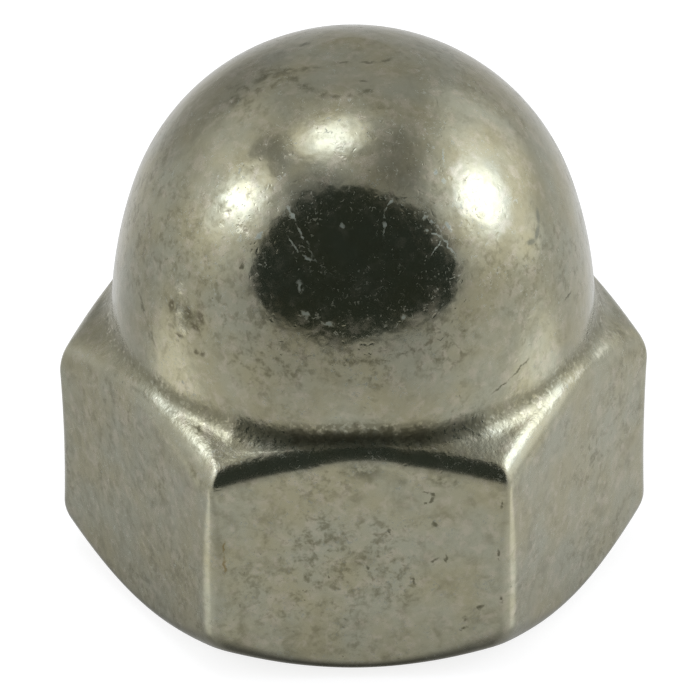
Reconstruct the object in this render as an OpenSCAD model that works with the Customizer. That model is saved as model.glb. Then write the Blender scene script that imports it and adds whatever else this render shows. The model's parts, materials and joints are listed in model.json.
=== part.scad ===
// Domed cap nut, M10 x 1.5: a hexagon and a dome formed as one piece over a blind thread.
// The origin is the centre of the seat, +Z runs up through the dome, and one flat faces -Y.

/* [Hexagon] */
// Distance across two opposite flats
across_flats = 15.9; // [15.6:0.05:16]
// Height of the flats at their middle, where the top chamfer crosses them
flat_height = 8.15; // [7.75:0.05:8.6]
// Radius of the six upright corners
corner_radius = 0.15; // [0.1:0.05:0.8]
// Slope of the top chamfer against the seat, in degrees
top_chamfer_angle = 34; // [28:1:40]

/* [Seat] */
// Diameter of the flat face that bears on the work
seat_diameter = 14.5; // [14:0.1:14.9]
// Slope of the bottom chamfer against the seat, in degrees
seat_chamfer_angle = 32; // [20:1:38]

/* [Dome] */
// Height of the whole nut, from the seat to the flat on the nose
total_height = 17.45; // [17:0.05:18.2]
// Diameter of the dome at its foot, where its side stands upright
dome_diameter = 15.05; // [14.8:0.05:15.2]
// Radius of the long curve up the dome's side, seen in section
side_radius = 15; // [14:0.1:18]
// Depth that the small flat on the nose takes off the full dome
nose_flat_depth = 0.15; // [0.05:0.01:0.4]
// Radius of the fillet between the dome and the top chamfer
fillet_radius = 0.6; // [0.3:0.05:0.8]

/* [Thread] */
// Diameter of the plain bore, the minor diameter of the thread
bore_diameter = 8.376; // [8.3:0.002:8.6]
// Depth at which the full bore ends and the drill point begins
bore_depth = 12.9; // [12.5:0.1:13.2]
// Angle across the drill point, in degrees
drill_point_angle = 118; // [118:1:140]
// Diameter of the blunt tip that the drill point ends in
drill_tip_diameter = 0.8; // [0.4:0.1:2]
// Diameter of the countersink where it meets the seat
countersink_diameter = 10.4; // [10:0.1:10.8]
// Angle across the countersink, in degrees
countersink_angle = 120; // [90:5:120]

/* [Hidden] */
$fn = 96;
overshoot = 1;
hair = 0.003;

// Hexagon: half width, and how far the uncut blank reaches past its corners
flat_r = across_flats / 2;
blank_r = flat_r / cos(30) + overshoot;

// Seat and bottom chamfer
seat_r = seat_diameter / 2;
blank_rise = (blank_r - seat_r) * tan(seat_chamfer_angle);

// Top chamfer: its height at any radius, the way it faces and the way it falls
function chamfer_z(r) = flat_height + (flat_r - r) * tan(top_chamfer_angle);
chamfer_normal = [sin(top_chamfer_angle), cos(top_chamfer_angle)];
chamfer_fall = [cos(top_chamfer_angle), -sin(top_chamfer_angle)];

// Dome: a side arc that starts upright at the flats' height, and a nose arc that is centred
// on the axis and reaches the full dome's apex. The nose arc that is tangent to the side
// fixes where they join; the one cut is larger by blend_excess, so that they cross cleanly.
dome_r = dome_diameter / 2;
apex_rise = total_height + nose_flat_depth - flat_height;
side_centre = [dome_r - side_radius, flat_height];
tangent_radius = (pow(side_radius, 2) - pow(side_centre.x, 2) - pow(apex_rise, 2))
    / (2 * (side_radius - apex_rise));
tangent_rise = apex_rise - tangent_radius;
join_z = flat_height + side_radius * tangent_rise / (side_radius - tangent_radius);
blend_excess = 1.005;
nose_radius = tangent_radius * blend_excess;
nose_centre_z = flat_height + apex_rise - nose_radius;

// Fillet: a circle resting on the chamfer and against the side arc, sunk by a hair into
// both so that it crosses them cleanly
fillet_gap = fillet_radius - hair;
fillet_lift = fillet_gap + ([flat_r, flat_height] - side_centre) * chamfer_normal;
fillet_reach = sqrt(pow(side_radius + fillet_gap, 2) - pow(fillet_lift, 2));
fillet_centre = side_centre + fillet_lift * chamfer_normal + fillet_reach * chamfer_fall;
fillet_foot = fillet_centre - fillet_gap * chamfer_normal;
fillet_head = side_centre
    + (fillet_centre - side_centre) * side_radius / (side_radius + fillet_gap);
fillet_root = [fillet_head.x - fillet_radius, fillet_foot.y - fillet_radius];

// Thread
bore_r = bore_diameter / 2;
countersink_r = countersink_diameter / 2;
countersink_depth = (countersink_r - bore_r) / tan(countersink_angle / 2);
drill_tip_r = drill_tip_diameter / 2;
point_rise = (bore_r - drill_tip_r) / tan(drill_point_angle / 2);

// Rounded hexagon: six flats joined by short facets that lie just inside the rounding, and
// a circle at each corner that bulges through its facet and clears the flats by a hair
module hexagon() {
    corner_centre = (flat_r - corner_radius - hair) / cos(30);
    half_flat = corner_centre / 2 + 0.15 * corner_radius;
    polygon([for (i = [0:5], side = [-1, 1])
        flat_r * [cos(60 * i + 30), sin(60 * i + 30)]
            + side * half_flat * [-sin(60 * i + 30), cos(60 * i + 30)]]);
    for (i = [0:5])
        rotate(60 * i) translate([corner_centre, 0]) circle(corner_radius);
}

// Section that the hexagon is turned to: seat, bottom chamfer and top chamfer
module blank_section() {
    polygon([
        [0, 0],
        [seat_r, 0],
        [blank_r, blank_rise],
        [blank_r, chamfer_z(blank_r)],
        [0, chamfer_z(0)]
    ]);
}

// Section of the dome: its side up to the join, and its nose above
module dome_section() {
    intersection() {
        translate(side_centre) circle(side_radius);
        union() {
            translate([0, nose_centre_z]) circle(nose_radius);
            square([dome_r, join_z]);
        }
        square([dome_r, total_height]);
    }
}

// Section of the fillet, rooted in the hexagon and the dome
module fillet_section() {
    difference() {
        polygon([fillet_root, fillet_foot, fillet_centre, fillet_head]);
        translate(fillet_centre) circle(fillet_radius);
    }
}

// Space inside: countersink, bore and drill point
module bore_section() {
    polygon([
        [0, -overshoot],
        [countersink_r + overshoot * tan(countersink_angle / 2), -overshoot],
        [bore_r, countersink_depth],
        [bore_r, bore_depth],
        [drill_tip_r, bore_depth + point_rise],
        [0, bore_depth + point_rise]
    ]);
}

module cap_nut() {
    color("#96947f")
        difference() {
            union() {
                intersection() {
                    linear_extrude(total_height) hexagon();
                    rotate_extrude() blank_section();
                }
                rotate_extrude() {
                    dome_section();
                    fillet_section();
                }
            }
            rotate_extrude() bore_section();
        }
}

cap_nut();
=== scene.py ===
"""A domed cap nut in tumbled stainless steel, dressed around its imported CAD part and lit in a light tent."""

import json
import logging
import math
from collections.abc import Callable
from dataclasses import dataclass, field
from enum import IntEnum
from functools import partial

import bmesh
import bpy
import numpy as np
from mathutils import Matrix, Vector, noise


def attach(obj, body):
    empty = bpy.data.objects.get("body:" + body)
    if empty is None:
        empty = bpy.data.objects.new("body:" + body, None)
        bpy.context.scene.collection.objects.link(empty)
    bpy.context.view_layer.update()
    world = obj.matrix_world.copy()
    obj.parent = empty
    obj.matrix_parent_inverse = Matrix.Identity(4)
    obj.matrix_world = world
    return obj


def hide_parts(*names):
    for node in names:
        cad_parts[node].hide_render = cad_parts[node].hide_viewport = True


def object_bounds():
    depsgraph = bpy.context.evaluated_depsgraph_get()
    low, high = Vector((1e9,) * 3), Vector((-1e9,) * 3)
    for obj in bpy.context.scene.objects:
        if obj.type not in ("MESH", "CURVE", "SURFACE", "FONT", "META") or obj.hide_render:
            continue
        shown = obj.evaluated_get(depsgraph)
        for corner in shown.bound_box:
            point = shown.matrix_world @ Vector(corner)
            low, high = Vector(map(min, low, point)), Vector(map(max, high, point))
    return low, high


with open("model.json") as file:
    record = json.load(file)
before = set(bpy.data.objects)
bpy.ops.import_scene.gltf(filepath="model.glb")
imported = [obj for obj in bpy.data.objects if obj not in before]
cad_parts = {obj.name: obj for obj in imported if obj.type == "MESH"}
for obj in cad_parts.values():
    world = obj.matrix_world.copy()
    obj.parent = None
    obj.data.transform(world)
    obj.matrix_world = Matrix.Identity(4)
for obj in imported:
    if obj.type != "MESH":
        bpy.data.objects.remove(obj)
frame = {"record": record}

# What can feed a node's input: a socket, or a node, which stands for its first output
Source = bpy.types.NodeSocket | bpy.types.Node
# A function that adds a node to one tree
Adder = Callable[..., bpy.types.Node]
# A measure of the half section: one number, or an array with one for each column round the axis
Number = float | np.ndarray
# Points of the half section, as (distance from the axis, height)
Line = list[tuple[Number, Number]]

MM = 0.001
CAD_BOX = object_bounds()
log = logging.getLogger("cap_nut")


# ---------------------------------------------------------------- small helpers


def srgb(hex_colour: str) -> tuple[float, float, float, float]:
    """Turns an sRGB colour into the linear one that shaders take.

    Args:
        hex_colour: The colour as "#rrggbb".

    Returns:
        Linear red, green, blue and an alpha of 1.
    """
    parts = [int(hex_colour[i:i + 2], 16) / 255 for i in (1, 3, 5)]
    linear = [p / 12.92 if p <= 0.04045 else ((p + 0.055) / 1.055) ** 2.4 for p in parts]
    return (*linear, 1.0)


def per_mm(size_mm: float) -> float:
    """Gives the texture scale at which a pattern on metre coordinates repeats every size_mm."""
    return 1 / (size_mm * MM)


def add_node(tree: bpy.types.NodeTree, kind: str, links: dict | None = None, **settings) -> bpy.types.Node:
    """Adds a shader node, sets it up and links its inputs.

    Args:
        tree: The node tree to add to.
        kind: The node's type without its "ShaderNode", such as "Math".
        links: Input name or number to the source that feeds it, or to a plain value.
        settings: The node's own properties, such as operation="ADD".

    Returns:
        The new node.
    """
    node = tree.nodes.new("ShaderNode" + kind)
    for name, value in settings.items():
        setattr(node, name, value)
    for name, value in (links or {}).items():
        socket = node.inputs[name]
        if isinstance(value, bpy.types.Node):
            tree.links.new(value.outputs[0], socket)
        elif isinstance(value, bpy.types.NodeSocket):
            tree.links.new(value, socket)
        else:
            socket.default_value = value
    return node


def blank_tree(owner: bpy.types.Material | bpy.types.World) -> Adder:
    """Empties the node tree of a new material or world.

    Args:
        owner: The material or world.

    Returns:
        The function that adds a node to its tree.
    """
    owner.use_nodes = True
    owner.node_tree.nodes.clear()
    return partial(add_node, owner.node_tree)


def set_greys(ramp: bpy.types.ColorRamp, stops: tuple[tuple[float, float], ...]) -> None:
    """Fills a new colour ramp with greys.

    Args:
        ramp: The ramp, which has two elements.
        stops: Each element's position and level, both 0 to 1, in order.
    """
    for position, _ in stops[1:-1]:
        ramp.elements.new(position)
    for element, (position, level) in zip(ramp.elements, stops):
        element.position, element.color = position, (level, level, level, 1)


def direction(azimuth: float, elevation: float) -> Vector:
    """Gives the direction from the nut to a place round it.

    Args:
        azimuth: Degrees from the front towards +X.
        elevation: Degrees above the horizon.

    Returns:
        The direction, with a length of 1.
    """
    turn, rise = math.radians(azimuth), math.radians(elevation)
    return Vector((math.sin(turn) * math.cos(rise), -math.cos(turn) * math.cos(rise), math.sin(rise)))


def select_only(*objects: bpy.types.Object) -> None:
    """Leaves just these objects selected, with the last one active, so that an operator acts on no other.

    Args:
        objects: The objects, or none where a new one comes next.
    """
    bpy.ops.object.select_all(action="DESELECT")
    for thing in objects:
        thing.select_set(True)
        bpy.context.view_layer.objects.active = thing


def edit_all() -> None:
    """Opens the active object in edit mode with all of it selected."""
    bpy.ops.object.mode_set(mode="EDIT")
    bpy.ops.mesh.select_all(action="SELECT")


def weld_all(gap: float) -> None:
    """Merges all vertices of the mesh in edit mode that are within a gap, in millimetres."""
    bpy.ops.mesh.select_all(action="SELECT")
    bpy.ops.mesh.remove_doubles(threshold=gap * MM)


def read_places(mesh: bpy.types.Mesh) -> np.ndarray:
    """Gives the place of every vertex, one row each, in millimetres."""
    places = np.empty(len(mesh.vertices) * 3)
    mesh.vertices.foreach_get("co", places)
    return places.reshape(-1, 3) / MM


def add_marks(mesh: bpy.types.Mesh, name: str, kind: str, values: np.ndarray | list[int]) -> None:
    """Marks every vertex with a value, in a new attribute.

    Args:
        mesh: The mesh.
        name: The attribute's name.
        kind: "INT" or "FLOAT".
        values: One value for each vertex.
    """
    mesh.attributes.new(name, kind, "POINT").data.foreach_set("value", values)


def write_places(mesh: bpy.types.Mesh, reach: np.ndarray, turn: np.ndarray, rise: np.ndarray) -> None:
    """Moves every vertex to a place given round the axis.

    Args:
        mesh: The mesh.
        reach: Each vertex's distance from the axis, in millimetres.
        turn: Its angle from +X towards +Y, in radians.
        rise: Its height, in millimetres.
    """
    places = np.stack([reach * np.cos(turn), reach * np.sin(turn), rise], axis=1) * MM
    mesh.vertices.foreach_set("co", places.ravel())
    mesh.update()


def arc(centre_r: Number, centre_z: Number, radius: Number, start: Number, end: Number,
        count: int) -> Line:
    """Points along an arc in a half section.

    Args:
        centre_r: Distance of the arc's centre from the axis.
        centre_z: Height of the arc's centre.
        radius: The arc's radius.
        start: First angle above the outward horizontal, in radians.
        end: Last angle.
        count: Number of points, both ends included.

    Returns:
        The points, as (distance, height).
    """
    angles = np.linspace(start, end, count)
    return [(centre_r + radius * np.cos(a), centre_z + radius * np.sin(a)) for a in angles]


def between(first: tuple[Number, Number], last: tuple[Number, Number], count: int) -> Line:
    """Evenly spaced points strictly between two points of a half section.

    Args:
        first: The point before, as (distance, height).
        last: The point after.
        count: Number of points to put between them.

    Returns:
        The points, in order.
    """
    shares = np.linspace(0, 1, count + 2)[1:-1]
    return [(first[0] + (last[0] - first[0]) * s, first[1] + (last[1] - first[1]) * s) for s in shares]


# ---------------------------------------------------------------- the nut's form


class Zone(IntEnum):
    """The parts of the nut's skin, from the seat up to the nose."""

    SEAT = 0
    SEAT_CHAMFER = 1
    LOWER_EDGE = 2
    FLAT = 3
    UPPER_EDGE = 4
    TOP_CHAMFER = 5
    FILLET = 6
    DOME = 7
    NOSE = 8
    BORE = 9


@dataclass
class Section:
    """The nut's outside in a half section, from the seat's rim to the nose, in millimetres."""

    flat_r: float
    total_height: float
    flat_height: float = 8.15
    top_chamfer: float = math.radians(34)
    seat_r: float = 7.27
    seat_chamfer: float = math.radians(32)
    seat_edge: float = 0.2
    lower_edge: float = 0.53
    lower_edge_growth: float = 0.35
    upper_edge: float = 1.03
    upper_edge_growth: float = 0.2
    worn_growth: float = 0.6
    # In the middle of a flat the upper edge is lifted, and the chamfer begins where that has faded out
    upper_edge_lift: float = 0.14
    lift_reach: float = 0.1
    least_lift: float = 0.01
    fillet: float = 0.85
    fillet_growth: float = 0.6
    worn_fillet_loss: float = 0.6
    # Angle left between the upper edge and the fillet where they meet without the chamfer, in radians
    joint_slack: float = 0.02
    dome_r: float = 7.525
    side_radius: float = 15.0
    nose_flat_depth: float = 0.15
    nose_edge: float = 0.35
    # How far the nose's rim is pulled towards its sharp corner, as a share
    nose_sharpness: float = 0.4
    # How many points each stretch gets, from the seat up
    rim_points: int = 4
    seat_chamfer_points: int = 3
    lower_edge_points: int = 8
    flat_points: int = 20
    shoulder_points: int = 12
    top_chamfer_points: int = 2
    side_points: int = 22
    dome_points: int = 40
    nose_points: int = 4

    def seat_run(self, wall_r: Number, worn: Number) -> tuple[Line, Line]:
        """Draws the rounded rim of the seat and the lower edge of the wall, which is rounder at a corner.

        Args:
            wall_r: Distance of the wall's foot from the axis.
            worn: How much the edge is worn towards the corners, 0 to 1.

        Returns:
            The rim's points and the lower edge's points.
        """
        under = self.seat_chamfer - math.pi / 2
        rim_r = self.seat_r - self.seat_edge * math.tan(self.seat_chamfer / 2)
        rim = arc(rim_r, self.seat_edge, self.seat_edge, -math.pi / 2, under, self.rim_points)
        growth = self.lower_edge_growth + self.worn_growth * worn
        edge = self.lower_edge + growth * (wall_r - self.flat_r)
        edge_z = (wall_r - self.seat_r) * math.tan(self.seat_chamfer) + edge * math.tan(-under / 2)
        return rim, arc(wall_r - edge, edge_z, edge, under, 0, self.lower_edge_points)

    def shoulder_run(self, wall_r: Number, worn: Number) -> tuple[Line, Line, Number]:
        """Draws the rounded upper edge of the wall and the fillet under the dome.

        Where the chamfer is wide enough, both are tangent to it. In the middle of a flat it is not, so
        there they run straight into each other.

        Args:
            wall_r: Distance of the wall's head from the axis.
            worn: How much the edge is worn towards the corners, 0 to 1.

        Returns:
            The upper edge's points, the fillet's points, and the angle at which the side arc begins.
        """
        facing = math.pi / 2 - self.top_chamfer
        normal_r, normal_z = math.cos(facing), math.sin(facing)
        side_r = self.dome_r - self.side_radius
        past_flat = wall_r - self.flat_r
        upper_edge = self.upper_edge + (self.upper_edge_growth + self.worn_growth * worn) * past_flat
        edge_r = wall_r - upper_edge
        lift = self.upper_edge_lift * np.exp(-(past_flat / self.lift_reach) ** 2)
        edge_z = (self.flat_height - past_flat * math.tan(self.top_chamfer)
                  - upper_edge * math.tan(facing / 2) + lift)
        fillet = self.fillet + self.fillet_growth * (1 - self.worn_fillet_loss * worn) * past_flat

        rise = fillet + (self.flat_r - side_r) * normal_r
        along = np.sqrt((self.side_radius + fillet) ** 2 - rise ** 2)
        on_cone = (rise * normal_r + along * normal_z, rise * normal_z - along * normal_r)

        gap_r, gap_z = edge_r - side_r, edge_z - self.flat_height
        gap = np.hypot(gap_r, gap_z)
        side_reach, edge_reach = self.side_radius + fillet, upper_edge + fillet
        near = (side_reach ** 2 - edge_reach ** 2 + gap ** 2) / (2 * gap)
        off = np.sqrt(np.maximum(side_reach ** 2 - near ** 2, 0))
        on_edge = ((near * gap_r - off * gap_z) / gap, (near * gap_z + off * gap_r) / gap)

        cone_joint = (on_cone[0] + side_r - edge_r) * -normal_z + (on_cone[1] - gap_z) * normal_r
        fits = (cone_joint > 0) & (lift < self.upper_edge_lift * self.least_lift)
        across, up = (np.where(fits, cone, direct) for cone, direct in zip(on_cone, on_edge))
        joint = np.where(fits, facing, np.arctan2(up - gap_z, across + side_r - edge_r))
        head = np.arctan2(up, across)
        short = np.where(fits, 0, self.joint_slack)
        top = arc(edge_r, edge_z, upper_edge, 0, joint - short, self.shoulder_points)
        hollow = arc(side_r + across, self.flat_height + up, fillet,
                     joint - short + math.pi, head + math.pi, self.shoulder_points)
        return top, hollow, head

    def dome_run(self, head: Number) -> tuple[Line, Line]:
        """Draws the dome from the fillet to the small flat on the nose.

        Args:
            head: Angle at which the side arc begins.

        Returns:
            The points up the dome, and the points across the nose to the axis.
        """
        side_r = self.dome_r - self.side_radius
        apex_rise = self.total_height + self.nose_flat_depth - self.flat_height
        nose_r = self.side_radius ** 2 - side_r ** 2 - apex_rise ** 2
        nose_r /= 2 * (self.side_radius - apex_rise)
        nose_z = self.flat_height + apex_rise - nose_r
        join = math.atan2(nose_z - self.flat_height, -side_r)
        side = arc(side_r, self.flat_height, self.side_radius, head, join, self.side_points)
        rim = math.asin((self.total_height - nose_z) / nose_r)
        rim_r = nose_r * math.cos(rim)
        tangent = self.nose_edge * math.tan((math.pi / 2 - rim) / 2)
        nose = arc(0, nose_z, nose_r, join, rim - tangent / nose_r, self.dome_points)
        flat_start = (rim_r - tangent, self.total_height)
        sharp_rim = (rim_r, self.total_height)
        soft_rim = tuple((1 - self.nose_sharpness) * (nose[-1][i] + flat_start[i]) / 2
                         + self.nose_sharpness * sharp_rim[i] for i in (0, 1))
        apex = (0, self.total_height)
        across = between(flat_start, apex, self.nose_points)
        return side[1:] + nose[1:], [soft_rim, flat_start, *across, apex]

    def points(self, foot_r: Number, head_r: Number, foot_worn: Number = 0.0,
               head_worn: Number = 0.0) -> tuple[Line, list[Zone]]:
        """Works out the section for a given distance of the wall from the axis.

        Args:
            foot_r: Distance of the wall's foot from the axis.
            head_r: Distance of the wall's head from the axis.
            foot_worn: How much the lower edge is worn towards the corners, 0 to 1.
            head_worn: How much the upper edge is worn towards the corners, 0 to 1.

        Returns:
            The points from the seat's rim to the nose, and each point's zone.
        """
        rim, low_edge = self.seat_run(foot_r, foot_worn)
        top_edge, hollow, head = self.shoulder_run(head_r, head_worn)
        dome, nose = self.dome_run(head)
        runs = [
            (Zone.SEAT, rim[:1]),
            (Zone.SEAT_CHAMFER, rim[1:] + between(rim[-1], low_edge[0], self.seat_chamfer_points)),
            (Zone.LOWER_EDGE, low_edge),
            (Zone.FLAT, between(low_edge[-1], top_edge[0], self.flat_points)),
            (Zone.UPPER_EDGE, top_edge),
            (Zone.TOP_CHAMFER, between(top_edge[-1], hollow[0], self.top_chamfer_points)),
            (Zone.FILLET, hollow),
            (Zone.DOME, dome),
            (Zone.NOSE, nose),
        ]
        return [p for _, run in runs for p in run], [zone for zone, run in runs for _ in run]

    def place(self, azimuth: float, measure: float, on_nose: bool) -> Vector:
        """Finds a place on the outside.

        Args:
            azimuth: Degrees round the axis, from the front flat's middle towards +X.
            measure: Height above the seat or, on the nose, distance from the axis, in millimetres.
            on_nose: Whether the place is near the nose, where a height doesn't fix it well.

        Returns:
            The place, in millimetres.
        """
        if on_nose:
            heights, reaches = self.dome_line()
            reach, height = measure, float(np.interp(-measure, [-r for r in reaches], heights))
        elif measure > self.flat_height + self.fillet:
            reach, height = float(np.interp(measure, *self.dome_line())), measure
        else:
            from_middle = math.radians(azimuth - 60 * round(azimuth / 60))
            wall = self.flat_r / math.cos(from_middle)
            chamfer = self.flat_r + (self.flat_height - measure) / math.tan(self.top_chamfer)
            reach, height = min(wall, chamfer), measure
        turn = math.radians(azimuth)
        return Vector((reach * math.sin(turn), -reach * math.cos(turn), height))

    def dome_line(self) -> tuple[list[float], list[float]]:
        """Gives the heights and the distances from the axis of the points up the dome."""
        points, zones = self.points(self.flat_r, self.flat_r)
        line = [(float(z), float(r)) for (r, z), zone in zip(points, zones) if zone >= Zone.DOME]
        return [z for z, _ in line], [r for _, r in line]


@dataclass
class Hexagon:
    """The nut's outline seen from above: six flats with rounded corners, in millimetres.

    A corner is roundest at mid height, where spanners and tumbling have worn it most. Each corner is worn
    by its own share, and so are the edges that meet at its foot and at its head, other than the front
    flat's upper edge. The shares run from the corner on +X towards +Y.
    """

    flat_r: float
    foot_radius: float = 1.0
    middle_radius: float = 1.15
    head_radius: float = 0.4
    wear: tuple[float, ...] = (0.7, 0.75, 0.8, 0.7, 0.8, 0.7)
    foot_wear: tuple[float, ...] = (0.0, 0.3, 0.4, 0.0, 0.65, 0.85)
    head_wear: tuple[float, ...] = (0.3, 0.5, 0.6, 0.7, 1.0, 0.25)

    def reach(self, from_corner: Number, corner_radius: Number) -> np.ndarray:
        """Gives the outline's distance from the axis.

        Args:
            from_corner: Angle from the nearest corner, in radians, 0 to 30 degrees.
            corner_radius: Radius of the corner's rounding.

        Returns:
            The distance at each angle.
        """
        sixth = math.pi / 6
        centre = (self.flat_r - corner_radius) / math.cos(sixth)
        across = np.maximum(corner_radius ** 2 - (centre * np.sin(from_corner)) ** 2, 0)
        on_flat = self.flat_r / np.cos(sixth - from_corner)
        on_corner = centre * np.cos(from_corner) + np.sqrt(across)
        tangent = sixth - np.arctan((self.flat_r - corner_radius) * math.tan(sixth) / self.flat_r)
        return np.where(from_corner < tangent, on_corner, on_flat)

    def corner_radius(self, share: float, wear: Number) -> Number:
        """Gives a corner's radius at a share of the wall's height.

        Args:
            share: 0 at the wall's foot, 1 at its head.
            wear: The corner's share of wear.

        Returns:
            The radius.
        """
        straight = self.foot_radius * (1 - share) + self.head_radius * share
        swell = self.middle_radius - (self.foot_radius + self.head_radius) / 2
        return wear * (straight + swell * (1 - (2 * share - 1) ** 2))


@dataclass
class Thread:
    """The internal M10 x 1.5 thread, its countersink and the drill point above it, in millimetres."""

    minor_r: float
    depth: float = 12.9
    pitch: float = 1.5
    major_r: float = 5.0
    countersink_r: float = 5.2
    countersink_slope: float = math.tan(math.radians(30))
    runout: float = 1.6
    point_rise: float = 2.28
    tip_r: float = 0.4
    softening: float = 0.05
    steps: int = 56
    # Where the drill point's cone is divided, as shares of the bore's radius
    point_steps: tuple[float, float] = (0.7, 0.4)

    def pitch_profile(self) -> list[tuple[float, float]]:
        """Gives one pitch of the thread's section, as (distance, height), crest first."""
        crest, root = self.pitch / 4, self.pitch / 8
        flank = (self.pitch - crest - root) / 2
        soft = self.softening
        return [
            (self.minor_r, 0.0),
            (self.minor_r, crest),
            (self.minor_r + soft * 2, crest + soft),
            (self.major_r - soft, crest + flank - soft / 2),
            (self.major_r, crest + flank + soft),
            (self.major_r, crest + flank + root - soft),
            (self.major_r - soft, crest + flank + root + soft / 2),
            (self.minor_r + soft * 2, self.pitch - soft),
            (self.minor_r, self.pitch),
        ]

    def cut(self, radius: np.ndarray, height: np.ndarray) -> np.ndarray:
        """Fades the thread out at its end and opens it with the countersink.

        Args:
            radius: The full thread's distance from the axis at each vertex.
            height: Each vertex's height above the seat.

        Returns:
            The distance from the axis after both cuts.
        """
        fade = np.clip((self.depth - height) / self.runout, 0, 1)
        threaded = self.minor_r + (radius - self.minor_r) * fade
        countersunk = self.countersink_r - height / self.countersink_slope
        return np.maximum(threaded, countersunk)


@dataclass
class Dents:
    """Low unevenness that forming and tumbling leave in the skin, in millimetres."""

    # Each wave's length and depth
    waves: tuple[tuple[float, float], ...] = ((3.2, 0.012), (1.3, 0.005))
    seed: Vector = field(default_factory=lambda: Vector((3.7, 1.9, 8.2)))

    def depth(self, point: Vector) -> float:
        """Gives how far the skin is pushed in at a point, never below 0.

        Args:
            point: The place on the skin, in millimetres.

        Returns:
            The depth, in millimetres.
        """
        return sum(depth / 2 * (1 + noise.noise(point / length + self.seed)) for length, depth in self.waves)


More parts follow.
